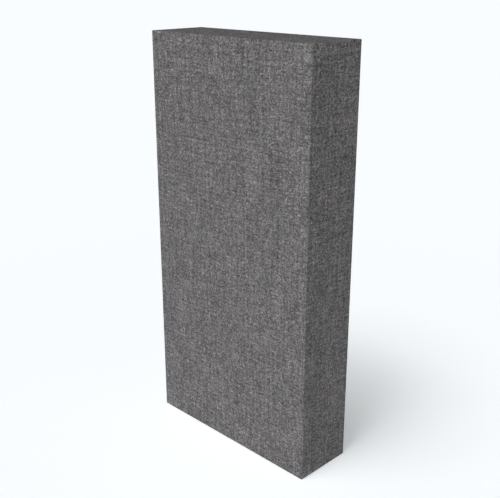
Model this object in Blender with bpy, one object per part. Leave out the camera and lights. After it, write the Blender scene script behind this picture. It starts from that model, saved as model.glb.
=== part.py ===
"""Free-standing bass trap: a deep timber frame packed with mineral wool and covered in woven cloth.

Units are metres, and +Z is up. The wide cloth face looks along -Y, and the origin is the middle
of the base. The cloth is one sheet. It covers the front, wraps all four sides and turns onto the
back edges of the frame, where a thin dust cover closes the opening.
"""

import math

import bmesh
import bpy
from mathutils import Matrix, Vector

# Outside of the finished trap
WIDTH = 0.600
HEIGHT = 1.200
DEPTH = 0.188

# Cloth cover
CLOTH = 0.0012  # thickness of the woven sheet
RETURN_TRIM = 0.0015  # the turned edge stops this far short of a board's inner face
FOLD_SETBACK = 0.0015  # how far a fold line stays from a rounding or from the cut edge
FOLD_DEPTH = 0.0005  # how deep the line beside a folded edge sinks into the cloth
FOLD_WIDTH = 0.0012  # width of that line

# Dust cover on the back
DUST = 0.0005  # thickness of one layer
DUST_MARGIN = 0.007  # cloth left showing round it
HEM = 0.010  # edge turned under

# Timber frame
BOARD = 0.018  # thickness of the four deep boards
ARRIS = 0.0008  # rounding of the frame's outer edges
BRACE_COUNT = 2
BRACE_HEIGHT = 0.045
BRACE = 0.022  # thickness of the battens let into the back

# Mineral wool
SLAB_COUNT = 2

# Clearances and helpers
SEAT = 0.0003  # gap between two pieces that touch
OVERCUT = 0.010  # how far a cutter or a rough board runs past what trims it
ROUND_SEGMENTS = 4

# Where the layers lie, from the outside in
cover_radius = ARRIS + SEAT + CLOTH
frame_half_width = WIDTH / 2 - CLOTH - SEAT
frame_base = CLOTH + SEAT
frame_top = HEIGHT - CLOTH - SEAT
frame_front = -DEPTH / 2 + CLOTH + SEAT
cover_back = DEPTH / 2 - 2 * DUST - SEAT
frame_back = cover_back - CLOTH - SEAT
brace_front = frame_back - BRACE
bay_half_width = frame_half_width - BOARD
bay_base = frame_base + BOARD
bay_top = frame_top - BOARD
return_width = CLOTH + SEAT + BOARD - RETURN_TRIM
rebate = BOARD / 2  # half of the board's thickness, the usual housing for an end board


def clear_scene():
    for obj in list(bpy.data.objects):
        bpy.data.objects.remove(obj)


def make_material(name, colour, roughness):
    material = bpy.data.materials.new(name)
    material.use_nodes = True
    shader = material.node_tree.nodes["Principled BSDF"]
    shader.inputs["Base Color"].default_value = (*colour, 1.0)
    shader.inputs["Roughness"].default_value = roughness
    shader.inputs["Metallic"].default_value = 0.0
    return material


def make_object(name, bm, material=None):
    bmesh.ops.recalc_face_normals(bm, faces=bm.faces)
    mesh = bpy.data.meshes.new(name)
    bm.to_mesh(mesh)
    bm.free()
    obj = bpy.data.objects.new(name, mesh)
    bpy.context.scene.collection.objects.link(obj)
    if material:
        mesh.materials.append(material)
    return obj


def hide_helper(obj):
    """A cutter or a trimming shape, which is not a piece of the trap."""
    obj.hide_render = True
    obj.display_type = "WIRE"
    return obj


def box(low, high, bm=None):
    """A closed box between two corners, added to bm where one is given."""
    bm = bm or bmesh.new()
    low, high = Vector(low), Vector(high)
    place = Matrix.Translation((low + high) / 2) @ Matrix.Diagonal((*(high - low), 1))
    bmesh.ops.create_cube(bm, size=1, matrix=place)
    return bm


def rounded_box(low, high, radius):
    bm = box(low, high)
    bmesh.ops.bevel(
        bm,
        geom=list(bm.edges),
        offset=radius,
        segments=ROUND_SEGMENTS,
        profile=0.5,
        affect="EDGES",
    )
    return bm


def add_boolean(obj, other, operation):
    modifier = obj.modifiers.new(other.name, "BOOLEAN")
    modifier.operation = operation
    modifier.object = other


def make_frame_envelope():
    """The assembled frame's outside with its arrises eased. It trims every piece of timber."""
    low = (-frame_half_width, frame_front, frame_base)
    high = (frame_half_width, frame_back, frame_top)
    return hide_helper(make_object("frame_envelope", rounded_box(low, high, ARRIS)))


def brace_centre(index):
    return HEIGHT * (index + 1) / (BRACE_COUNT + 1)


def make_housing_cutter():
    """The rebates for the end boards and the notches for the braces, cut across both side boards."""
    bm = bmesh.new()
    half = bay_half_width + rebate
    front = frame_front - OVERCUT
    back = frame_back + OVERCUT
    box((-half, front, frame_base - OVERCUT), (half, back, bay_base + SEAT), bm)
    box((-half, front, bay_top - SEAT), (half, back, frame_top + OVERCUT), bm)
    reach = frame_half_width + OVERCUT
    for index in range(BRACE_COUNT):
        low_z = brace_centre(index) - BRACE_HEIGHT / 2 - SEAT
        high_z = brace_centre(index) + BRACE_HEIGHT / 2 + SEAT
        box((-reach, brace_front - SEAT, low_z), (reach, back, high_z), bm)
    return hide_helper(make_object("housing_cutter", bm))


def make_side_board(name, side, envelope, housings, pine):
    """A full-height board on one side, -1 left or 1 right, housed for what it carries."""
    inner = side * bay_half_width
    outer = side * (frame_half_width + OVERCUT)
    low = (min(inner, outer), frame_front - OVERCUT, frame_base - OVERCUT)
    high = (max(inner, outer), frame_back + OVERCUT, frame_top + OVERCUT)
    board = make_object(name, box(low, high), pine)
    add_boolean(board, envelope, "INTERSECT")
    add_boolean(board, housings, "DIFFERENCE")


def make_end_board(name, low_z, high_z, envelope, pine):
    """The top or bottom board, whose ends sit in the rebates of the side boards."""
    half = bay_half_width + rebate - SEAT
    low = (-half, frame_front - OVERCUT, low_z)
    high = (half, frame_back + OVERCUT, high_z)
    board = make_object(name, box(low, high), pine)
    add_boolean(board, envelope, "INTERSECT")


def make_brace(name, centre, envelope, pine):
    """A batten across the back, flush with the frame, that holds the wool in."""
    reach = frame_half_width + OVERCUT
    low = (-reach, brace_front, centre - BRACE_HEIGHT / 2)
    high = (reach, frame_back + OVERCUT, centre + BRACE_HEIGHT / 2)
    brace = make_object(name, box(low, high), pine)
    add_boolean(brace, envelope, "INTERSECT")


def make_wool_slab(name, index, wool):
    """One slab of the pack. The slabs fill the bay from the cloth back to the braces."""
    pitch = (brace_front - frame_front) / SLAB_COUNT
    front = frame_front + index * pitch
    low = (-bay_half_width + SEAT, front, bay_base + SEAT)
    high = (bay_half_width - SEAT, front + pitch - SEAT, bay_top - SEAT)
    make_object(name, box(low, high), wool)


def add_groove(bm, start, end, outward):
    """A V-shaped cutter along the line from start to end on a face that looks outward."""
    start, end, outward = Vector(start), Vector(end), Vector(outward)
    along = (end - start).normalized()
    across = along.cross(outward).normalized() * FOLD_WIDTH
    profile = (
        -outward * FOLD_DEPTH,
        across + outward * FOLD_DEPTH,
        -across + outward * FOLD_DEPTH,
    )
    rings = [[bm.verts.new(centre + offset) for offset in profile] for centre in (start, end)]
    for first, second in ((0, 1), (1, 2), (2, 0)):
        bm.faces.new((rings[0][first], rings[0][second], rings[1][second], rings[1][first]))
    bm.faces.new(rings[0])
    bm.faces.new(reversed(rings[1]))


def make_fold_cutter():
    """The lines left by the folded corners.

    The spare cloth of each corner is tucked under the top or base, so a folded edge runs from
    front to back beside each side. It then crosses the turned edge on the back as a mitre.
    """
    bm = bmesh.new()
    fold_x = WIDTH / 2 - cover_radius - FOLD_SETBACK
    fold_front = -DEPTH / 2 + cover_radius + FOLD_SETBACK
    for side in (-1, 1):
        for face_z, up in ((0.0, -1), (HEIGHT, 1)):
            start = (side * fold_x, fold_front, face_z)
            end = (side * fold_x, cover_back + OVERCUT, face_z)
            add_groove(bm, start, end, (0, 0, up))
            corner = Vector((side * WIDTH / 2, cover_back, face_z))
            inward = Vector((-side, 0, -up))
            start = corner + inward * (cover_radius + FOLD_SETBACK)
            end = corner + inward * (return_width - FOLD_SETBACK)
            add_groove(bm, start, end, (0, 1, 0))
    return hide_helper(make_object("fold_cutter", bm))


def make_cover(cloth):
    """The sheet of cloth, turned onto the back by the width of a board's edge."""
    low = (-WIDTH / 2, -DEPTH / 2, 0)
    high = (WIDTH / 2, cover_back, HEIGHT)
    bm = rounded_box(low, high, cover_radius)
    back = max(bm.faces, key=lambda face: face.calc_center_median().y * face.calc_area())
    turned = return_width - cover_radius
    bmesh.ops.inset_region(bm, faces=[back], thickness=turned, use_even_offset=True)
    bmesh.ops.delete(bm, geom=[back], context="FACES")
    cover = make_object("cloth_cover", bm, cloth)
    shell = cover.modifiers.new("cloth_thickness", "SOLIDIFY")
    shell.thickness = CLOTH
    shell.offset = -1
    shell.use_even_offset = True
    add_boolean(cover, make_fold_cutter(), "DIFFERENCE")
    cover.data.shade_smooth()
    cover.data.set_sharp_from_angle(angle=math.radians(30))


def make_dust_cover(black_cloth):
    """A thin sheet over the back, with its edge turned under to two layers."""
    low = (-WIDTH / 2 + DUST_MARGIN, DEPTH / 2 - DUST, DUST_MARGIN)
    high = (WIDTH / 2 - DUST_MARGIN, DEPTH / 2, HEIGHT - DUST_MARGIN)
    bm = box(low, high)
    inside = min(bm.faces, key=lambda face: face.calc_center_median().y)
    hem = bmesh.ops.inset_region(bm, faces=[inside], thickness=HEM, use_even_offset=True)["faces"]
    raised = bmesh.ops.extrude_face_region(bm, geom=hem)["geom"]
    bmesh.ops.delete(bm, geom=hem, context="FACES")
    moved = [part for part in raised if isinstance(part, bmesh.types.BMVert)]
    bmesh.ops.translate(bm, verts=moved, vec=(0, -DUST, 0))
    make_object("dust_cover", bm, black_cloth)


def main():
    clear_scene()
    cloth = make_material("grey_woven_cloth", (0.160, 0.154, 0.158), 0.95)
    pine = make_material("planed_pine", (0.560, 0.390, 0.230), 0.70)
    wool = make_material("mineral_wool", (0.380, 0.330, 0.200), 1.00)
    black_cloth = make_material("black_dust_cloth", (0.018, 0.018, 0.019), 0.90)

    envelope = make_frame_envelope()
    housings = make_housing_cutter()
    make_side_board("side_board_left", -1, envelope, housings, pine)
    make_side_board("side_board_right", 1, envelope, housings, pine)
    make_end_board("bottom_board", frame_base - OVERCUT, bay_base, envelope, pine)
    make_end_board("top_board", bay_top, frame_top + OVERCUT, envelope, pine)
    for index in range(BRACE_COUNT):
        make_brace(f"back_brace_{index + 1}", brace_centre(index), envelope, pine)
    for index in range(SLAB_COUNT):
        make_wool_slab(f"wool_slab_{index + 1}", index, wool)
    make_cover(cloth)
    make_dust_cover(black_cloth)


main()
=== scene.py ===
"""Looks of the bass trap: its heather cloth cover, the stapled dust cloth on its back, and the studio.

Lengths are in metres. The trap stands on the floor with its cloth front towards -Y.
"""

import math
import random

import bmesh
import bpy
import numpy as np
from mathutils import Matrix, Vector, noise


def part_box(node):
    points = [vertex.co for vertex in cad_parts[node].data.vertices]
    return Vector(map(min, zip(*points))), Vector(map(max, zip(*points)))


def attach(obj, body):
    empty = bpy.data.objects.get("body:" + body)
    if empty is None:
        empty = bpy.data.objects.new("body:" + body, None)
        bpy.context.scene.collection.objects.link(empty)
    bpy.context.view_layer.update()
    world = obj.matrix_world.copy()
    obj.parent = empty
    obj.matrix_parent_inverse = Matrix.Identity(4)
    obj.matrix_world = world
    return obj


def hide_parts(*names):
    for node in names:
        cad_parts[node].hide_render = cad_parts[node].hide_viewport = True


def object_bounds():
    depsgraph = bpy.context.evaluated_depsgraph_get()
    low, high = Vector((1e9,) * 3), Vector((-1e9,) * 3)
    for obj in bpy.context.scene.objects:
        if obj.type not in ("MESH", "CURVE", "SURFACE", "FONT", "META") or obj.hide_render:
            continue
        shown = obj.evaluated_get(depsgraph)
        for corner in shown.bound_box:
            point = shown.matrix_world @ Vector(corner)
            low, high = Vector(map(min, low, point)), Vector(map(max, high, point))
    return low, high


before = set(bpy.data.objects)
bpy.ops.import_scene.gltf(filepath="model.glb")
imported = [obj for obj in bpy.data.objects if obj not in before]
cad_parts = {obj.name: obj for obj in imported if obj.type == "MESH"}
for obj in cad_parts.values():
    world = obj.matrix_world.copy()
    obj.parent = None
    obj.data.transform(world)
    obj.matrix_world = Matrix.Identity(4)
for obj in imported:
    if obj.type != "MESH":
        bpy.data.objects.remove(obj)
cad_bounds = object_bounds()

# Camera, found from the corners of the block in the photograph
CAMERA_LENS = 57.16  # on a sensor 36 mm wide
CAMERA_AT = (1.5401, -1.5395, 1.3666)
CAMERA_AIM = (0.0014, -0.0022, 0.5958)

# Studio
BACKGROUND = (0.947, 0.982, 1.0)
FLOOR_WHITENESS = 0.95  # times the background colour
FLOOR_LIFT = 0.343  # share of the background colour that the camera sees added to the floor
FLOOR_RADIUS = 9.0
FLOOR_SIDES = 96
FLOOR_FADE = (1.0, 2.2)  # from the trap outwards, where the floor becomes the plain background
LAMP_DISTANCE = 3.0
# Each lamp: where it comes from in degrees, round from +X and up, then how wide it looks, its level
KEYS = ((274.0, 58.7, 23.5, 0.190), (261.0, 71.8, 28.5, 0.412))
FILLS = (
    (250.0, 4.0, 30.0, 0.418),
    (340.0, 4.0, 30.0, 0.292),
    (160.0, 4.0, 30.0, 0.30),
    (80.0, 4.0, 30.0, 0.30),
)

# Cloth cover
CLOTH = 0.0012  # thickness, as in the CAD
COVER_RADIUS = 0.002  # rounding of its edges
ARC_STEPS = 4  # grid steps over half of a rounded edge
CLOTH_GRID = 0.016  # widest cell of its mesh
GRID_CLEARANCE = 0.001  # an even grid line closer than this to one of a fold is left out
RETURN_WIDTH = 0.018  # width turned onto the back, as in the CAD
FOLD_SETBACK = 0.0015  # from the rounding to the line of a fold, as in the CAD
# Grid lines beside a fold, by how far inwards of the fold's own line each one lies
FOLD_OFFSETS = (-0.0012, -0.0006, -0.0003, 0.0, 0.0003, *(0.0006 * step for step in range(1, 9)))
# The fold's sunken line and the ridge beside it: the rise, how far inwards it lies, how wide it is
FOLD_SHAPE = ((-0.0007, 0.0, 0.00045), (0.0003, 0.0016, 0.0012))
FOLD_START = 0.004  # length over which a fold grows behind the front edge
RIPPLE = 0.00022  # unevenness of the pulled cloth
RIPPLE_SIZE = 0.11
FINE_RIPPLE = (2.3, 0.4)  # how many times finer its second part is, and that part's share
UNDERSIDE = -0.3  # a normal that points further down is the base's, where nothing stands proud

# Weave of the cover
YARN = 0.0019  # from one yarn to the next
# Each yarn strays off its straight line by itself, then drifts with its neighbours: how far at
# most, the bends per metre across and up the cloth, and a seed
WARP_OFFSETS = ((0.00042, (230.0, 75.0), 3.0), (0.0013, (9.0, 17.0), 5.0))
WEFT_OFFSETS = ((0.00042, (75.0, 230.0), 8.0), (0.0013, (17.0, 9.0), 11.0))
YARN_LIFT = 0.5  # rise of a yarn where it passes over another, beside its own roundness
GAP_TO_CROWN = (0.3, 1.2)  # heights of the weave, from the gaps to the tops of the yarns
# Painted shade of the weave: the colour's level from the gaps, darkest, to the crowns of the yarns,
# brightest
GAP_TO_CROWN_PAINTED_SHADE = (0.42, 1.075)
FIBRES = 7.0  # strands of fibre seen across a yarn
TWIST = 1500.0  # how many of them a straight line along the yarn crosses per metre
FIBRE_RATE = 420.0  # lengths of fibre per metre of yarn
FIBRE_STEP = 0.37  # how far apart in the noise the fibres of two neighbours lie
FIBRE_SWING = 0.34
FIBRE_RELIEF = 0.4
WEAVE_BUMP = (0.00025, 0.5)  # height and strength
# Tone of each yarn: step in the noise from one yarn to the next, length over which it keeps its
# tone, and a seed
WARP_TONE = (0.62, 0.0075, 0.0)
WEFT_TONE = (0.83, 0.0070, 41.3)
YARN_COLOURS = ((0.0, (0.057, 0.053, 0.055)), (0.48, (0.157, 0.151, 0.154)), (1.0, (0.385, 0.371, 0.376)))
# Unevenness of the tone: patches per metre across and up the cloth, and their swing each way
SPECKS = (150.0, 185.0, 0.25)
WARP_STREAKS = (110.0, 34.0, 0.20)
WEFT_STREAKS = (44.0, 150.0, 0.17)
LONG_WARP_STREAKS = (110.0, 6.0, 0.16)
LONG_WEFT_STREAKS = (8.0, 140.0, 0.15)
CLOUDS = (13.0, 13.0, 0.08)
UNEVENNESS = (SPECKS, WARP_STREAKS, WEFT_STREAKS, LONG_WARP_STREAKS, LONG_WEFT_STREAKS, CLOUDS)
# Patches of slightly warmer and cooler cloth
CAST_RATE = 11.0
CAST_RANGE = (0.35, 0.65)
WARM_CAST = (1.008, 0.998, 0.985, 1.0)
COOL_CAST = (0.994, 0.998, 1.005, 1.0)

# Dust cloth on the back
DUST = 0.0005  # thickness of one layer, as in the CAD
HEM = 0.010  # width turned under, as in the CAD
DUST_GRID = 0.012  # widest cell of its mesh
# Grid lines beside its edge, by their distance from the edge
DUST_EDGE_LINES = (0.0, 0.003, 0.0065, HEM, HEM + DUST, 0.014, 0.018, 0.023, 0.028)
DUST_SAG = 0.0010  # how far it hangs in at most
SAG_START = 0.03  # width over which the sag grows inside the hem
DUST_WRINKLE = 0.0009  # depth of the soft upright wrinkles
WRINKLE_SIZE = (0.065, 0.24)  # their size across and up
WRINKLE_GAIN = 1.5  # stretches their noise, so that it fills the range from -1 to 0
PUCKER = 0.00035  # lift of the cloth's edge between two staples
PUCKER_REACH = 0.014  # how far inwards from the edge it dies away

# Finish of the dust cloth
DOT_WAVE = 0.0024  # length of the slanting waves that cross in the bonded dots
DOT_EDGE = (0.45, 0.75)  # heights of the crossed waves between which a dot begins
# How far the columns and the rows of dots lie off their lines, as for the yarns
DOT_OFFSETS = ((0.0008, (55.0, 55.0), 2.0), (0.0008, (55.0, 55.0), 6.0))
DOT_COLOUR = (0.009, 0.009, 0.0095, 1.0)
DUST_COLOUR = (0.020, 0.020, 0.021)
MAT_RATE = 900.0  # of the matted fibres
MAT_TONE = (0.6, 1.5)
MAT_RELIEF = 0.8
CLOUD_RATE = 28.0
CLOUD_TONE = (0.70, 1.35)
DUST_BUMP = (0.00015, 0.8)

# Staples
STAPLE_PITCH = 0.058  # from one to the next, before they are spread evenly along an edge
STAPLE_INSET = 0.0055  # from the edge of the dust cloth
STAPLE_WIRE = (0.0012, 0.0006)  # how wide and how thick the wire is
STAPLE_CROWN = 0.0105  # length of the part that is seen
STAPLE_LEG = 0.0014  # length of a leg down into the cloths, cut short of the board
STAPLE_BEND = 0.0007  # radius between the crown and a leg
STAPLE_SINK = 0.0001  # how far a staple is pressed into the cloth
BEND_STEPS = 4
WIRE_EDGE = STAPLE_WIRE[1] / 5  # easing of the wire's edges
STAPLE_SEED = 7
UNEVEN_RUN = 0.003  # how far a staple lies off its place along the hem
UNEVEN_INSET = 0.0008
UNEVEN_LEAN = 7.0  # degrees
DRAW_MARK_RATE = 2600.0
WIRE_COLOURS = ((0.3, (0.42, 0.43, 0.45)), (0.7, (0.66, 0.67, 0.69)))
WIRE_ROUGHNESS = (0.28, 0.48)

# Timber, by the axis that its grain runs along
ALONG_X, ALONG_Z = 0, 2
RING = 0.0036  # width of a growth ring
RING_SWAY = 0.009  # how far the rings wander along the grain
PITH_ASIDE = {ALONG_X: 0.655, ALONG_Z: 0.350}  # from the middle of the trap to the pith of the tree
PITH_DEPTH = 0.012  # where the pith lies along Y
EARLY_WOOD, MIDDLE_WOOD, LATE_WOOD = (0.62, 0.44, 0.27), (0.58, 0.40, 0.238), (0.45, 0.28, 0.145)
RING_COLOURS = ((0.0, EARLY_WOOD), (0.60, MIDDLE_WOOD), (0.90, LATE_WOOD), (1.0, EARLY_WOOD))
# Patches per metre across the grain and along it
SWAY_RATES = (9.0, 1.3)
PORE_RATES = (700.0, 22.0)
BROAD_RATES = (22.0, 2.0)
PORE_TONE = (0.90, 1.09)
BROAD_TONE = (0.92, 1.08)
PORE_RELIEF = 0.4
PINE_BUMP = (0.0001, 0.4)

# Mineral wool
WOOL_FLATNESS = 6.0  # how much thinner its layers are than they are wide
LAYER_RATE = 40.0
WOOL_FIBRE_RATE = 1400.0
WOOL_COLOURS = ((0.3, (0.22, 0.17, 0.07)), (0.5, (0.40, 0.33, 0.17)), (0.72, (0.58, 0.52, 0.34)))
WOOL_BUMP = (0.0012, 0.8)

# Helpers
NOISE_RANGE = (0.3, 0.7)  # nearly all of a noise lies between these values
DECIMALS = 7  # to which the places of points that meet are rounded
ON_LINE = 1e-6  # a point closer than this lies on a line


class Shader:
    """One Principled material, with short calls for the nodes that feed it."""

    def __init__(self, name, roughness, specular=0.3):
        self.material = bpy.data.materials.new(name)
        self.material.use_nodes = True
        self.tree = self.material.node_tree
        self.surface = self.tree.nodes["Principled BSDF"]
        self.surface.inputs["Roughness"].default_value = roughness
        self.surface.inputs["Specular IOR Level"].default_value = specular

    def add(self, kind, **settings):
        node = self.tree.nodes.new(kind)
        for key, value in settings.items():
            setattr(node, key, value)
        return node

    def feed(self, socket, value):
        if isinstance(value, bpy.types.NodeSocket):
            self.tree.links.new(value, socket)
        else:
            socket.default_value = value

    def math(self, operation, *values):
        node = self.add("ShaderNodeMath", operation=operation)
        for socket, value in zip(node.inputs, values):
            self.feed(socket, value)
        return node.outputs[0]

    def remap(self, value, low, high, to_low=0.0, to_high=1.0):
        node = self.add("ShaderNodeMapRange")
        for socket, number in zip(node.inputs, (value, low, high, to_low, to_high)):
            self.feed(socket, number)
        return node.outputs[0]

    def spread(self, value, low=0.0, high=1.0):
        """A noise, stretched so that nearly all of it runs from low to high."""
        return self.remap(value, *NOISE_RANGE, low, high)

    def mix(self, share, first, second):
        """Two colours or vectors blended. The node's other sockets are for numbers."""
        node = self.add("ShaderNodeMix", data_type="RGBA")
        self.feed(node.inputs[0], share)
        self.feed(node.inputs[6], first)
        self.feed(node.inputs[7], second)
        return node.outputs[2]

    def tint(self, colour, factor):
        """A colour times a number."""
        node = self.add("ShaderNodeVectorMath", operation="SCALE")
        self.feed(node.inputs[0], colour)
        self.feed(node.inputs["Scale"], factor)
        return node.outputs[0]

    def product(self, first, second):
        """A colour times another."""
        node = self.add("ShaderNodeVectorMath", operation="MULTIPLY")
        self.feed(node.inputs[0], first)
        self.feed(node.inputs[1], second)
        return node.outputs[0]

    def length(self, vector):
        node = self.add("ShaderNodeVectorMath", operation="LENGTH")
        self.feed(node.inputs[0], vector)
        return node.outputs["Value"]

    def combine(self, x, y, z=0.0):
        node = self.add("ShaderNodeCombineXYZ")
        for socket, value in zip(node.inputs, (x, y, z)):
            self.feed(socket, value)
        return node.outputs[0]

    def split(self, vector):
        node = self.add("ShaderNodeSeparateXYZ")
        self.feed(node.inputs[0], vector)
        return node.outputs

    def place(self):
        """Position on the object, in metres."""
        return self.add("ShaderNodeTexCoord").outputs["Object"]

    def attribute(self, name):
        return self.add("ShaderNodeAttribute", attribute_name=name).outputs["Vector"]

    def noise(self, vector, scale=1.0, detail=2.0, roughness=0.5):
        node = self.add("ShaderNodeTexNoise")
        self.feed(node.inputs["Vector"], vector)
        node.inputs["Scale"].default_value = scale
        node.inputs["Detail"].default_value = detail
        node.inputs["Roughness"].default_value = roughness
        return node.outputs[0]

    def patches(self, place, rates, seed=0.0, detail=2.0):
        """Noise at a place on the cloth, with so many patches per metre across and up."""
        x, y = (self.math("MULTIPLY", value, rate) for value, rate in zip(place, rates))
        return self.noise(self.combine(x, y, seed), detail=detail)

    def offset(self, place, most, rates, seed):
        """A distance that changes smoothly over the cloth, at most so far either way."""
        return self.spread(self.patches(place, rates, seed, detail=1.0), -most, most)

    def ramp(self, value, stops):
        node = self.add("ShaderNodeValToRGB")
        elements = node.color_ramp.elements
        while len(elements) < len(stops):
            elements.new(1.0)
        for element, (position, colour) in zip(elements, stops):
            element.position = position
            element.color = (*colour, 1.0)
        self.feed(node.inputs[0], value)
        return node.outputs[0]

    def colour(self, value):
        self.feed(self.surface.inputs["Base Color"], value)

    def bump(self, height, distance, strength):
        node = self.add("ShaderNodeBump")
        node.inputs["Distance"].default_value = distance
        node.inputs["Strength"].default_value = strength
        self.feed(node.inputs["Height"], height)
        self.feed(self.surface.inputs["Normal"], node.outputs[0])


def yarn(shader, position, place, offsets):
    """The number of the yarn at a position, and the distance from its middle, from -0.5 to 0.5."""
    stray, drift = (shader.offset(place, *offset) for offset in offsets)
    straight = shader.math("ADD", position, shader.math("ADD", stray, drift))
    count = shader.math("DIVIDE", straight, YARN)
    return shader.math("FLOOR", count), shader.math("SUBTRACT", shader.math("FRACT", count), 0.5)


def yarn_tone(shader, number, run, step, slub, seed):
    """Lightness of one yarn, which drifts along its run. A small step keeps neighbours alike."""
    drift = shader.combine(shader.math("MULTIPLY", number, step), shader.math("DIVIDE", run, slub), seed)
    return shader.spread(shader.noise(drift, roughness=0.6))


def yarn_height(shader, own_side, other_side, rise):
    """Height of a yarn, which is round and rises where it passes over another."""
    crown = shader.math("COSINE", shader.math("MULTIPLY", own_side, math.pi))
    lift = shader.math("COSINE", shader.math("MULTIPLY", other_side, math.pi))
    return shader.math("MULTIPLY_ADD", shader.math("MULTIPLY", lift, rise), YARN_LIFT, crown)


def fibre_place(shader, number, side, run):
    """Where a point lies among the twisted fibres of its yarn."""
    turned = shader.math("MULTIPLY_ADD", run, TWIST, shader.math("MULTIPLY", side, FIBRES))
    length = shader.math("MULTIPLY", run, FIBRE_RATE)
    return shader.combine(turned, length, shader.math("MULTIPLY", number, FIBRE_STEP))


def made_uneven(shader, level, place):
    """A level of tone with the cloth's specks, streaks and clouds laid over it."""
    for *rates, swing in UNEVENNESS:
        tone = shader.spread(shader.patches(place, rates), 1 - swing, 1 + swing)
        level = shader.math("MULTIPLY", level, tone)
    return level


def heather_cloth():
    """Plain weave of two heather yarns. Each yarn changes tone along its length, and the weave carries
    painted shade in its gaps and down the yarns' round sides.
    """
    shader = Shader("grey_heather_cloth", roughness=0.95, specular=0.0)
    plane = shader.attribute("cloth_plane")
    across, along, _ = shader.split(plane)
    place = (across, along)

    warp, warp_side = yarn(shader, across, place, WARP_OFFSETS)
    weft, weft_side = yarn(shader, along, place, WEFT_OFFSETS)
    over = shader.math("COSINE", shader.math("MULTIPLY", shader.math("ADD", warp, weft), math.pi))
    warp_height = yarn_height(shader, warp_side, weft_side, over)
    weft_height = yarn_height(shader, weft_side, warp_side, shader.math("MULTIPLY", over, -1.0))
    weft_on_top = shader.math("GREATER_THAN", weft_height, warp_height)
    relief = shader.math("MAXIMUM", warp_height, weft_height)

    warp_colour = shader.ramp(yarn_tone(shader, warp, along, *WARP_TONE), YARN_COLOURS)
    weft_colour = shader.ramp(yarn_tone(shader, weft, across, *WEFT_TONE), YARN_COLOURS)
    woven = shader.mix(weft_on_top, warp_colour, weft_colour)

    warp_fibres = fibre_place(shader, warp, warp_side, along)
    weft_fibres = fibre_place(shader, weft, weft_side, across)
    fibres = shader.noise(shader.mix(weft_on_top, warp_fibres, weft_fibres), detail=1.0)

    # painted shade in the weave's gaps and down the yarns' round sides, times the fibres' own tone
    level = shader.math(
        "MULTIPLY",
        shader.remap(relief, *GAP_TO_CROWN, *GAP_TO_CROWN_PAINTED_SHADE),
        shader.spread(fibres, 1 - FIBRE_SWING, 1 + FIBRE_SWING),
    )
    toned = shader.tint(woven, made_uneven(shader, level, place))
    coolness = shader.remap(shader.noise(plane, scale=CAST_RATE, detail=1.0), *CAST_RANGE)
    shader.colour(shader.product(toned, shader.mix(coolness, WARM_CAST, COOL_CAST)))
    shader.bump(shader.math("MULTIPLY_ADD", fibres, FIBRE_RELIEF, relief), *WEAVE_BUMP)
    return shader.material


def dust_cloth_material():
    """Black non-woven cloth: matted fibres with small bonded dots in rows."""
    shader = Shader("black_nonwoven_cloth", roughness=0.80, specular=0.25)
    plane = shader.attribute("cloth_plane")
    across, along, _ = shader.split(plane)
    column_off, row_off = (shader.offset((across, along), *offset) for offset in DOT_OFFSETS)
    column = shader.math("ADD", across, column_off)
    row = shader.math("ADD", along, row_off)
    turns = 2 * math.pi / DOT_WAVE
    rising = shader.math("SINE", shader.math("MULTIPLY", shader.math("ADD", column, row), turns))
    falling = shader.math("SINE", shader.math("MULTIPLY", shader.math("SUBTRACT", column, row), turns))
    bonded = shader.remap(shader.math("MULTIPLY", rising, falling), *DOT_EDGE)
    mat = shader.noise(plane, scale=MAT_RATE, detail=4.0, roughness=0.7)
    cloud = shader.noise(plane, scale=CLOUD_RATE, detail=3.0)
    level = shader.math("MULTIPLY", shader.spread(mat, *MAT_TONE), shader.spread(cloud, *CLOUD_TONE))
    shader.colour(shader.mix(bonded, shader.tint(DUST_COLOUR, level), DOT_COLOUR))
    relief = shader.math("MULTIPLY_ADD", bonded, -1.0, shader.math("MULTIPLY", mat, MAT_RELIEF))
    shader.bump(relief, *DUST_BUMP)
    return shader.material


def pine(name, grain_axis):
    """Planed softwood, its growth rings round a pith that lies beside each board, along one axis."""
    shader = Shader(name, roughness=0.62, specular=0.3)
    x, y, z = shader.split(shader.place())
    run = z if grain_axis == ALONG_Z else x
    from_middle = x if grain_axis == ALONG_Z else shader.math("SUBTRACT", z, cad_bounds[1][2] / 2)
    aside = shader.math("SUBTRACT", shader.math("ABSOLUTE", from_middle), PITH_ASIDE[grain_axis])
    depth = shader.math("SUBTRACT", y, PITH_DEPTH)

    def grain_noise(across_rate, run_rate):
        """Noise stretched along the grain, with so many patches per metre across it and along it."""
        place = shader.combine(
            shader.math("MULTIPLY", aside, across_rate),
            shader.math("MULTIPLY", depth, across_rate),
            shader.math("MULTIPLY", run, run_rate),
        )
        return shader.noise(place)

    radius = shader.length(shader.combine(aside, depth))
    sway = shader.spread(grain_noise(*SWAY_RATES), -RING_SWAY, RING_SWAY)
    rings = shader.math("FRACT", shader.math("DIVIDE", shader.math("ADD", radius, sway), RING))
    pores = grain_noise(*PORE_RATES)
    pore_tone = shader.spread(pores, *PORE_TONE)
    broad_tone = shader.spread(grain_noise(*BROAD_RATES), *BROAD_TONE)
    wood = shader.ramp(rings, RING_COLOURS)
    shader.colour(shader.tint(wood, shader.math("MULTIPLY", pore_tone, broad_tone)))
    shader.bump(shader.math("MULTIPLY_ADD", pores, PORE_RELIEF, rings), *PINE_BUMP)
    return shader.material


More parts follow.
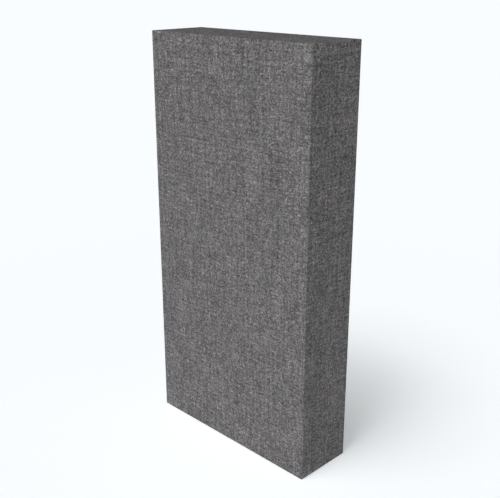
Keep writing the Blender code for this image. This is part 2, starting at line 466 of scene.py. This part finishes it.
def mineral_wool():
    """Matted yellow-brown fibre in faint layers."""
    shader = Shader("mineral_wool_fibre", roughness=1.0, specular=0.1)
    place = shader.place()
    x, y, z = shader.split(place)
    layered = shader.combine(x, shader.math("MULTIPLY", y, WOOL_FLATNESS), z)
    layers = shader.noise(layered, scale=LAYER_RATE, detail=4.0, roughness=0.65)
    fibre = shader.noise(place, scale=WOOL_FIBRE_RATE, detail=3.0, roughness=0.7)
    tone = shader.math("MULTIPLY_ADD", fibre, 0.5, shader.math("MULTIPLY", layers, 0.5))
    shader.colour(shader.ramp(tone, WOOL_COLOURS))
    shader.bump(tone, *WOOL_BUMP)
    return shader.material


def staple_steel():
    """Zinc-coated wire with faint draw marks."""
    shader = Shader("zinc_wire", roughness=0.35)
    shader.surface.inputs["Metallic"].default_value = 1.0
    marks = shader.noise(shader.place(), scale=DRAW_MARK_RATE)
    shader.colour(shader.ramp(marks, WIRE_COLOURS))
    shader.feed(shader.surface.inputs["Roughness"], shader.spread(marks, *WIRE_ROUGHNESS))
    return shader.material


def add_object(name, mesh, material):
    mesh.materials.append(material)
    obj = bpy.data.objects.new(name, mesh)
    bpy.context.scene.collection.objects.link(obj)
    return obj


def spaced(low, high, step):
    """Even values from low to high, at most a step apart."""
    return np.linspace(low, high, max(2, math.ceil((high - low) / step) + 1))


def edge_graded_lines(half, extra=()):
    """Grid lines from -half to half that follow the rounding of both edges."""
    arc = half - COVER_RADIUS + COVER_RADIUS * np.tan(np.linspace(0, math.pi / 4, ARC_STEPS + 1))
    middle = spaced(-(half - COVER_RADIUS), half - COVER_RADIUS, CLOTH_GRID)
    kept = [
        line
        for line in middle
        if all(abs(abs(line) - abs(other)) > GRID_CLEARANCE for other in extra)
    ]
    lines = np.concatenate([-arc, kept, arc, extra, np.negative(extra)])
    return np.unique(lines.round(DECIMALS))


def rim_block(blocks, count):
    """The block of faces that close a sheet round its open edges, from its outside to its inside."""
    edges, places = [], []
    for faces, plane in blocks:
        sides = faces.shape[1]
        for k in range(sides):
            edges.append(faces[:, [k, (k + 1) % sides]])
            places.append(plane[:, [k, (k + 1) % sides]])
    edges, places = np.concatenate(edges), np.concatenate(places)
    order = np.sort(edges, axis=1)
    _, index, uses = np.unique(order, axis=0, return_inverse=True, return_counts=True)
    open_edge = uses[index.reshape(-1)] == 1
    start, end = edges[open_edge].T
    faces = np.column_stack([end, start, start + count, end + count])
    return faces, places[open_edge][:, [1, 0, 0, 1]]


def closed_sheet(name, points, normals, blocks, thickness, material):
    """A sheet of cloth as one closed mesh.

    Each block is an array of outward faces and an array of their corners' places on the flat cloth.
    """
    count = len(points)
    inner = points - normals * np.reshape(thickness, (-1, 1))
    closed = []
    for faces, plane in blocks:
        turned = [0, *range(faces.shape[1] - 1, 0, -1)]
        closed += [(faces, plane), (faces[:, turned] + count, plane[:, turned])]
    closed.append(rim_block(blocks, count))
    mesh = bpy.data.meshes.new(name)
    corners = [face for faces, _ in closed for face in faces.tolist()]
    mesh.from_pydata(np.concatenate([points, inner]).tolist(), [], corners)
    layer = mesh.attributes.new("cloth_plane", "FLOAT_VECTOR", "CORNER")
    places = np.concatenate([plane.reshape(-1, 3) for _, plane in closed])
    layer.data.foreach_set("vector", places.astype(np.float32).ravel())
    mesh.shade_smooth()
    return add_object(name, mesh, material)


def grid_quads(shape):
    """The cells of a grid of points. Each runs along the grid's first axis, then its second."""
    number = np.arange(math.prod(shape)).reshape(shape)
    quads = np.stack([number[:-1, :-1], number[1:, :-1], number[1:, 1:], number[:-1, 1:]], axis=-1)
    return quads.reshape(-1, 4)


def side_grid(axis, sign, half, lines):
    """One side of a box as a grid of points, with its outward quads."""
    first, second = [k for k in range(3) if k != axis]
    grid_a, grid_b = np.meshgrid(lines[first], lines[second], indexing="ij")
    points = np.empty((grid_a.size, 3))
    points[:, axis] = sign * half[axis]
    points[:, first] = grid_a.ravel()
    points[:, second] = grid_b.ravel()
    quads = grid_quads(grid_a.shape)
    outward = 1 if axis != 1 else -1  # the side that quads along first, then second, look out of
    return points, quads if sign == outward else quads[:, ::-1]


def is_back(axis, sign):
    return axis == 1 and sign == 1


def flat_place(corners, axis, sign, half):
    """Where the corners of faces lie on the flat cloth, whose middle is the middle of the front."""
    depth = corners[..., 1] + half[1]
    flat = np.zeros_like(corners)
    flat[..., 0], flat[..., 1] = corners[..., 0], corners[..., 2]
    if is_back(axis, sign):
        past = half - np.abs(corners)
        middle = past.mean(axis=1, keepdims=True)
        beside = middle[..., 0] < middle[..., 2]
        along_side = np.sign(corners[..., 0]) * (half[0] + 2 * half[1] + past[..., 0])
        along_end = np.sign(corners[..., 2]) * (half[2] + 2 * half[1] + past[..., 2])
        flat[..., 0] = np.where(beside, along_side, flat[..., 0])
        flat[..., 1] = np.where(beside, flat[..., 1], along_end)
    elif axis == 0:
        flat[..., 0] = sign * (half[0] + depth)
    elif axis == 2:
        flat[..., 1] = sign * (half[2] + depth)
    return flat


def split_mitres(points, quads, half):
    """The cells of the back that no mitre crosses, and the two halves of each one that a mitre does."""
    past = half - np.abs(points)
    on_mitre = np.abs(past[:, 0] - past[:, 2]) < ON_LINE
    crossed = on_mitre[quads].sum(axis=1) == 2
    whole, cut = quads[~crossed], quads[crossed]
    starts_on = on_mitre[cut[:, 0]]
    cut = np.where(starts_on[:, None], cut, np.roll(cut, 1, axis=1))
    return whole, np.concatenate([cut[:, [0, 1, 2]], cut[:, [0, 2, 3]]])


def ripple(point):
    """Slight unevenness of the pulled cloth at a point, at most RIPPLE and never outwards."""
    rate, share = FINE_RIPPLE
    value = noise.noise(Vector(point) / RIPPLE_SIZE)
    value += share * noise.noise(Vector(point) * rate / RIPPLE_SIZE)
    return RIPPLE * (min(max(value, -1.0), 1.0) - 1.0) / 2


def fold_profile(points, half):
    """Rise of the cloth beside its folds, which cross the top and base, then mitre the back corners."""
    past = half - np.abs(points)
    line = COVER_RADIUS + FOLD_SETBACK
    inwards = past[:, 0] - np.maximum(past[:, 2], line)
    inwards = np.where(past[:, 2] > line, inwards / math.sqrt(2), inwards)
    shape = 0.0
    for height, middle, spread in FOLD_SHAPE:
        shape += height * np.exp(-(((inwards - middle) / spread) ** 2))
    start = np.clip((points[:, 1] + half[1] - COVER_RADIUS) / FOLD_START, 0, 1)
    folded = (past[:, 2] < ON_LINE) | (points[:, 1] > half[1] - ON_LINE)
    return np.where(folded, shape * start, 0.0)


def cover_lines(half):
    """The cover's grid lines along each axis, with close ones beside its folds and at its opening."""
    folds = [COVER_RADIUS + FOLD_SETBACK + offset for offset in FOLD_OFFSETS]
    opening = half - RETURN_WIDTH
    return (
        edge_graded_lines(half[0], [*np.subtract(half[0], folds), opening[0]]),
        edge_graded_lines(half[1]),
        edge_graded_lines(half[2], [*np.subtract(half[2], folds), opening[2]]),
    )


def cover_sides(half):
    """The points of all six sides, and the blocks of faces on them that are cloth."""
    lines = cover_lines(half)
    opening = half - RETURN_WIDTH
    all_points, blocks = [], []
    start = 0
    for axis in range(3):
        for sign in (-1, 1):
            points, quads = side_grid(axis, sign, half, lines)
            groups = [quads]
            if is_back(axis, sign):
                middle = points[quads].mean(axis=1)
                open_cells = (np.abs(middle[:, 0]) < opening[0]) & (np.abs(middle[:, 2]) < opening[2])
                groups = split_mitres(points, quads[~open_cells], half)
            for faces in groups:
                blocks.append((faces + start, flat_place(points[faces], axis, sign, half)))
            all_points.append(points)
            start += len(points)
    return np.concatenate(all_points), blocks


def welded(points, blocks):
    """The same faces with points that meet made one, and without the points that none uses."""
    rounded = points.round(DECIMALS)
    _, first, index = np.unique(rounded, axis=0, return_index=True, return_inverse=True)
    blocks = [(index.reshape(-1)[faces], plane) for faces, plane in blocks]
    used = np.unique(np.concatenate([faces.ravel() for faces, _ in blocks]))
    blocks = [(np.searchsorted(used, faces), plane) for faces, plane in blocks]
    return points[first][used], blocks


def make_cover(material):
    """The cloth over the front, sides, top and base, turned onto the back edges."""
    low, high = (np.array(corner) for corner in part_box("cloth_cover"))
    half, centre = (high - low) / 2, (high + low) / 2
    sharp, blocks = welded(*cover_sides(half))
    core = np.clip(sharp, COVER_RADIUS - half, half - COVER_RADIUS)
    normals = (sharp - core) / np.linalg.norm(sharp - core, axis=1, keepdims=True)
    rise = fold_profile(sharp, half) + [ripple(point) for point in sharp]
    rise = np.where(normals[:, 2] < UNDERSIDE, np.minimum(rise, 0.0), rise)
    points = centre + core + normals * (COVER_RADIUS + rise)[:, None]
    return closed_sheet("cloth_wrap", points, normals, blocks, CLOTH, material)


def dust_sag(x, z, half_width, height):
    """How far the dust cloth hangs in between the boards and the braces, which part it into bays."""
    bay_count = 1 + sum(name.startswith("back_brace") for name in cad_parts)
    bays = np.abs(np.sin(bay_count * math.pi * np.clip(z / height, 0, 1)))
    return DUST_SAG * (1 - (x / half_width) ** 2) * bays


def dust_wrinkle(x, z):
    """Soft wrinkles that run up the dust cloth, from -1 to 0."""
    value = noise.noise(Vector((x / WRINKLE_SIZE[0], z / WRINKLE_SIZE[1], 0.0)))
    return (min(max(WRINKLE_GAIN * value, -1.0), 1.0) - 1.0) / 2


def dust_lines(length):
    """Grid lines of the dust cloth, close together beside both edges."""
    edge = np.array(DUST_EDGE_LINES)
    middle = spaced(edge[-1], length - edge[-1], DUST_GRID)
    return np.concatenate([edge[:-1], middle, length - edge[-2::-1]])


def staple_runs(length):
    """Places of the staples along an edge. The first and last lie half a pitch from its ends."""
    gaps = round((length - STAPLE_PITCH) / STAPLE_PITCH)
    return np.linspace(STAPLE_PITCH / 2, length - STAPLE_PITCH / 2, gaps + 1)


def puckers(run, length):
    """Lift of the cloth along an edge, from 0 at each staple to 1 midway between two."""
    first, second = staple_runs(length)[:2]
    return 0.5 - 0.5 * np.cos(2 * math.pi * (run - first) / (second - first))


def dust_form(x, z, width, height):
    """How far the dust cloth stands proud of its plane at each point, and how thick it is there."""
    side_edge = np.minimum(x, width - x)
    end_edge = np.minimum(z, height - z)
    from_edge = np.minimum(side_edge, end_edge)
    wave = np.where(side_edge < end_edge, puckers(z, height), puckers(x, width))
    pucker = PUCKER * wave * np.exp(-from_edge / PUCKER_REACH)
    wrinkle = DUST_WRINKLE * np.array([dust_wrinkle(*place) for place in zip(x, z)])
    sag = dust_sag(x - width / 2, z, width / 2, height) - wrinkle
    hem_step = DUST * np.clip((from_edge - HEM) / DUST, 0, 1)
    hollow = sag * np.clip((from_edge - HEM) / SAG_START, 0, 1) + hem_step
    return pucker - hollow, np.where(from_edge <= HEM + ON_LINE, 2 * DUST, DUST)


def make_dust_cloth(material):
    """The thin cloth over the open back, with its edge turned under."""
    low, high = (np.array(corner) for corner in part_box("dust_cover"))
    width, height = high[0] - low[0], high[2] - low[2]
    xs, zs = dust_lines(width), dust_lines(height)
    x, z = (grid.ravel() for grid in np.meshgrid(xs, zs, indexing="ij"))
    quads = grid_quads((len(xs), len(zs)))[:, [0, 3, 2, 1]]  # turned to look out of the back
    proud, thickness = dust_form(x, z, width, height)
    points = np.column_stack([low[0] + x, high[1] + proud, low[2] + z])
    normals = np.tile([0.0, 1.0, 0.0], (len(points), 1))
    plane = np.column_stack([x, z, np.zeros(len(x))])[quads]
    return closed_sheet("dust_cloth", points, normals, [(quads, plane)], thickness, material)


def wire_section(centre, along, half_thick, half_wide):
    """The four corners of the wire's section, square to the direction it runs in."""
    out = Vector((-along.y, along.x))
    return [
        (centre.x + out.x * u, centre.y + out.y * u, v)
        for u, v in (
            (half_thick, half_wide),
            (half_thick, -half_wide),
            (-half_thick, -half_wide),
            (-half_thick, half_wide),
        )
    ]


def staple_path(half_thick):
    """Points along the middle of a staple's wire, each with the wire's direction there."""
    reach = STAPLE_CROWN / 2 - half_thick
    path = [(Vector((-reach, -STAPLE_LEG)), Vector((0, 1)))]
    for step in range(BEND_STEPS + 1):
        turn = math.pi / 2 * step / BEND_STEPS
        x = -reach + STAPLE_BEND * (1 - math.cos(turn))
        y = half_thick - STAPLE_BEND * (1 - math.sin(turn))
        path.append((Vector((x, y)), Vector((math.sin(turn), math.cos(turn)))))
    mirrored = [
        (Vector((-centre.x, centre.y)), Vector((along.x, -along.y)))
        for centre, along in reversed(path)
    ]
    return path + mirrored


def add_staple(bm, place):
    """One bent wire staple. Its crown lies along local X, and its legs go down local -Y."""
    wide, thick = (size / 2 for size in STAPLE_WIRE)
    rings = []
    for centre, along in staple_path(thick):
        corners = wire_section(centre, along, thick, wide)
        rings.append([bm.verts.new(place @ Vector(corner)) for corner in corners])
    for ring, following in zip(rings, rings[1:]):
        for k in range(4):
            bm.faces.new((ring[k], ring[(k + 1) % 4], following[(k + 1) % 4], following[k]))
    bm.faces.new(reversed(rings[0]))
    bm.faces.new(rings[-1])


def staple_places(width, height):
    """Where each staple lies on the dust cloth, and whether it is turned upright."""
    places = []
    for length, far, upright in ((width, height, False), (height, width, True)):
        for run in staple_runs(length):
            for across in (STAPLE_INSET, far - STAPLE_INSET):
                places.append((across, run, True) if upright else (run, across, False))
    return places


def make_staples(material):
    """Staples along the hem of the dust cloth, a little uneven as a staple gun leaves them."""
    low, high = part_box("dust_cover")
    uneven = random.Random(STAPLE_SEED)
    bm = bmesh.new()
    for x, z, upright in staple_places(high.x - low.x, high.z - low.z):
        shift_x, shift_z = (UNEVEN_INSET, UNEVEN_RUN) if upright else (UNEVEN_RUN, UNEVEN_INSET)
        x += uneven.uniform(-shift_x, shift_x)
        z += uneven.uniform(-shift_z, shift_z)
        turn = math.pi / 2 if upright else 0.0
        lean = turn + math.radians(uneven.uniform(-UNEVEN_LEAN, UNEVEN_LEAN))
        spot = Matrix.Translation((low.x + x, high.y - STAPLE_SINK, low.z + z))
        add_staple(bm, spot @ Matrix.Rotation(lean, 4, "Y"))
    bmesh.ops.recalc_face_normals(bm, faces=bm.faces)
    mesh = bpy.data.meshes.new("staples")
    bm.to_mesh(mesh)
    bm.free()
    staples = add_object("staples", mesh, material)
    bevel = staples.modifiers.new("wire_edges", "BEVEL")
    bevel.width = WIRE_EDGE
    bevel.segments = 2
    return staples


def set_material(name, material):
    """Gives a CAD node its finish. Its shape stays as it is."""
    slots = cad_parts[name].data.materials
    slots.clear()
    slots.append(material)


def dress_timber():
    """Boards and braces keep their CAD shape, with the grain along each piece."""
    grain = {
        "side_board_left": ALONG_Z,
        "side_board_right": ALONG_Z,
        "bottom_board": ALONG_X,
        "top_board": ALONG_X,
        "back_brace_1": ALONG_X,
        "back_brace_2": ALONG_X,
    }
    finishes = {axis: pine(f"pine_grain_{'xyz'[axis]}", axis) for axis in sorted(set(grain.values()))}
    for name, axis in grain.items():
        set_material(name, finishes[axis])


def dress_wool():
    wool = mineral_wool()
    for name in ("wool_slab_1", "wool_slab_2"):
        set_material(name, wool)


def floor_material():
    """White round the trap, and the plain background colour from further out, for the camera only."""
    shader = Shader("studio_floor", roughness=1.0, specular=0.0)
    shader.colour((*(FLOOR_WHITENESS * level for level in BACKGROUND), 1.0))
    rays = shader.add("ShaderNodeLightPath").outputs
    seen = shader.math("MAXIMUM", rays["Is Camera Ray"], rays["Is Glossy Ray"])
    fade = shader.remap(shader.length(shader.place()), *FLOOR_FADE)
    far = shader.math("MULTIPLY", fade, seen)
    shader.surface.inputs["Emission Color"].default_value = (*BACKGROUND, 1.0)
    shader.feed(shader.surface.inputs["Emission Strength"], shader.math("MULTIPLY", seen, FLOOR_LIFT))
    plain = shader.add("ShaderNodeEmission")
    plain.inputs["Color"].default_value = (*BACKGROUND, 1.0)
    blend = shader.add("ShaderNodeMixShader")
    for socket, value in zip(blend.inputs, (far, shader.surface.outputs[0], plain.outputs[0])):
        shader.feed(socket, value)
    shader.feed(shader.tree.nodes["Material Output"].inputs["Surface"], blend.outputs[0])
    return shader.material


def make_floor():
    """A round floor that keeps the trap's shadow and fades into the background."""
    bm = bmesh.new()
    bmesh.ops.create_circle(bm, cap_ends=True, segments=FLOOR_SIDES, radius=FLOOR_RADIUS)
    mesh = bpy.data.meshes.new("floor")
    bm.to_mesh(mesh)
    bm.free()
    floor = add_object("floor", mesh, floor_material())


def make_world():
    """The plain background, which only the camera and reflections see."""
    world = bpy.data.worlds.new("studio")
    world.use_nodes = True
    nodes, links = world.node_tree.nodes, world.node_tree.links
    rays = nodes.new("ShaderNodeLightPath").outputs
    seen = nodes.new("ShaderNodeMath")
    seen.operation = "MAXIMUM"
    links.new(rays["Is Camera Ray"], seen.inputs[0])
    links.new(rays["Is Glossy Ray"], seen.inputs[1])
    links.new(seen.outputs[0], nodes["Background"].inputs["Strength"])
    nodes["Background"].inputs["Color"].default_value = (*BACKGROUND, 1.0)
    bpy.context.scene.world = world


def add_lamp(name, azimuth, elevation, width, level, shadow):
    """A distant soft lamp. At level 1 a surface square to it renders as its own colour."""
    azimuth, elevation = math.radians(azimuth), math.radians(elevation)
    towards = Vector((math.cos(azimuth), math.sin(azimuth), math.tan(elevation))).normalized()
    lamp = bpy.data.lights.new(name, "SUN")
    lamp.energy = level * math.pi
    lamp.angle = math.radians(width)
    lamp.use_shadow = shadow
    obj = bpy.data.objects.new(name, lamp)
    obj.location = towards * LAMP_DISTANCE
    obj.rotation_mode = "QUATERNION"
    obj.rotation_quaternion = towards.to_track_quat("Z", "Y")
    bpy.context.scene.collection.objects.link(obj)


def make_lights():
    """Two keys overhead that throw the soft shadow, and low fills all round that throw none."""
    for kind, lamps in (("key", KEYS), ("fill", FILLS)):
        for number, lamp in enumerate(lamps, 1):
            add_lamp(f"{kind}_{number}", *lamp, shadow=kind == "key")


def make_camera():
    data = bpy.data.cameras.new("camera")
    data.lens = CAMERA_LENS
    camera = bpy.data.objects.new("camera", data)
    camera.location = CAMERA_AT
    camera.rotation_mode = "QUATERNION"
    aim = Vector(CAMERA_AIM) - Vector(CAMERA_AT)
    camera.rotation_quaternion = aim.to_track_quat("-Z", "Y")
    bpy.context.scene.collection.objects.link(camera)
    bpy.context.scene.camera = camera


def make_trap():
    cover = make_cover(heather_cloth())
    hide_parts("cloth_cover")
    dust = make_dust_cloth(dust_cloth_material())
    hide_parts("dust_cover")
    staples = make_staples(staple_steel())
    for piece in (cover, dust, staples):
        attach(piece, "root")
    dress_timber()
    dress_wool()


bpy.context.scene.view_settings.view_transform = "Standard"
make_camera()
make_world()
make_lights()
make_floor()
make_trap()
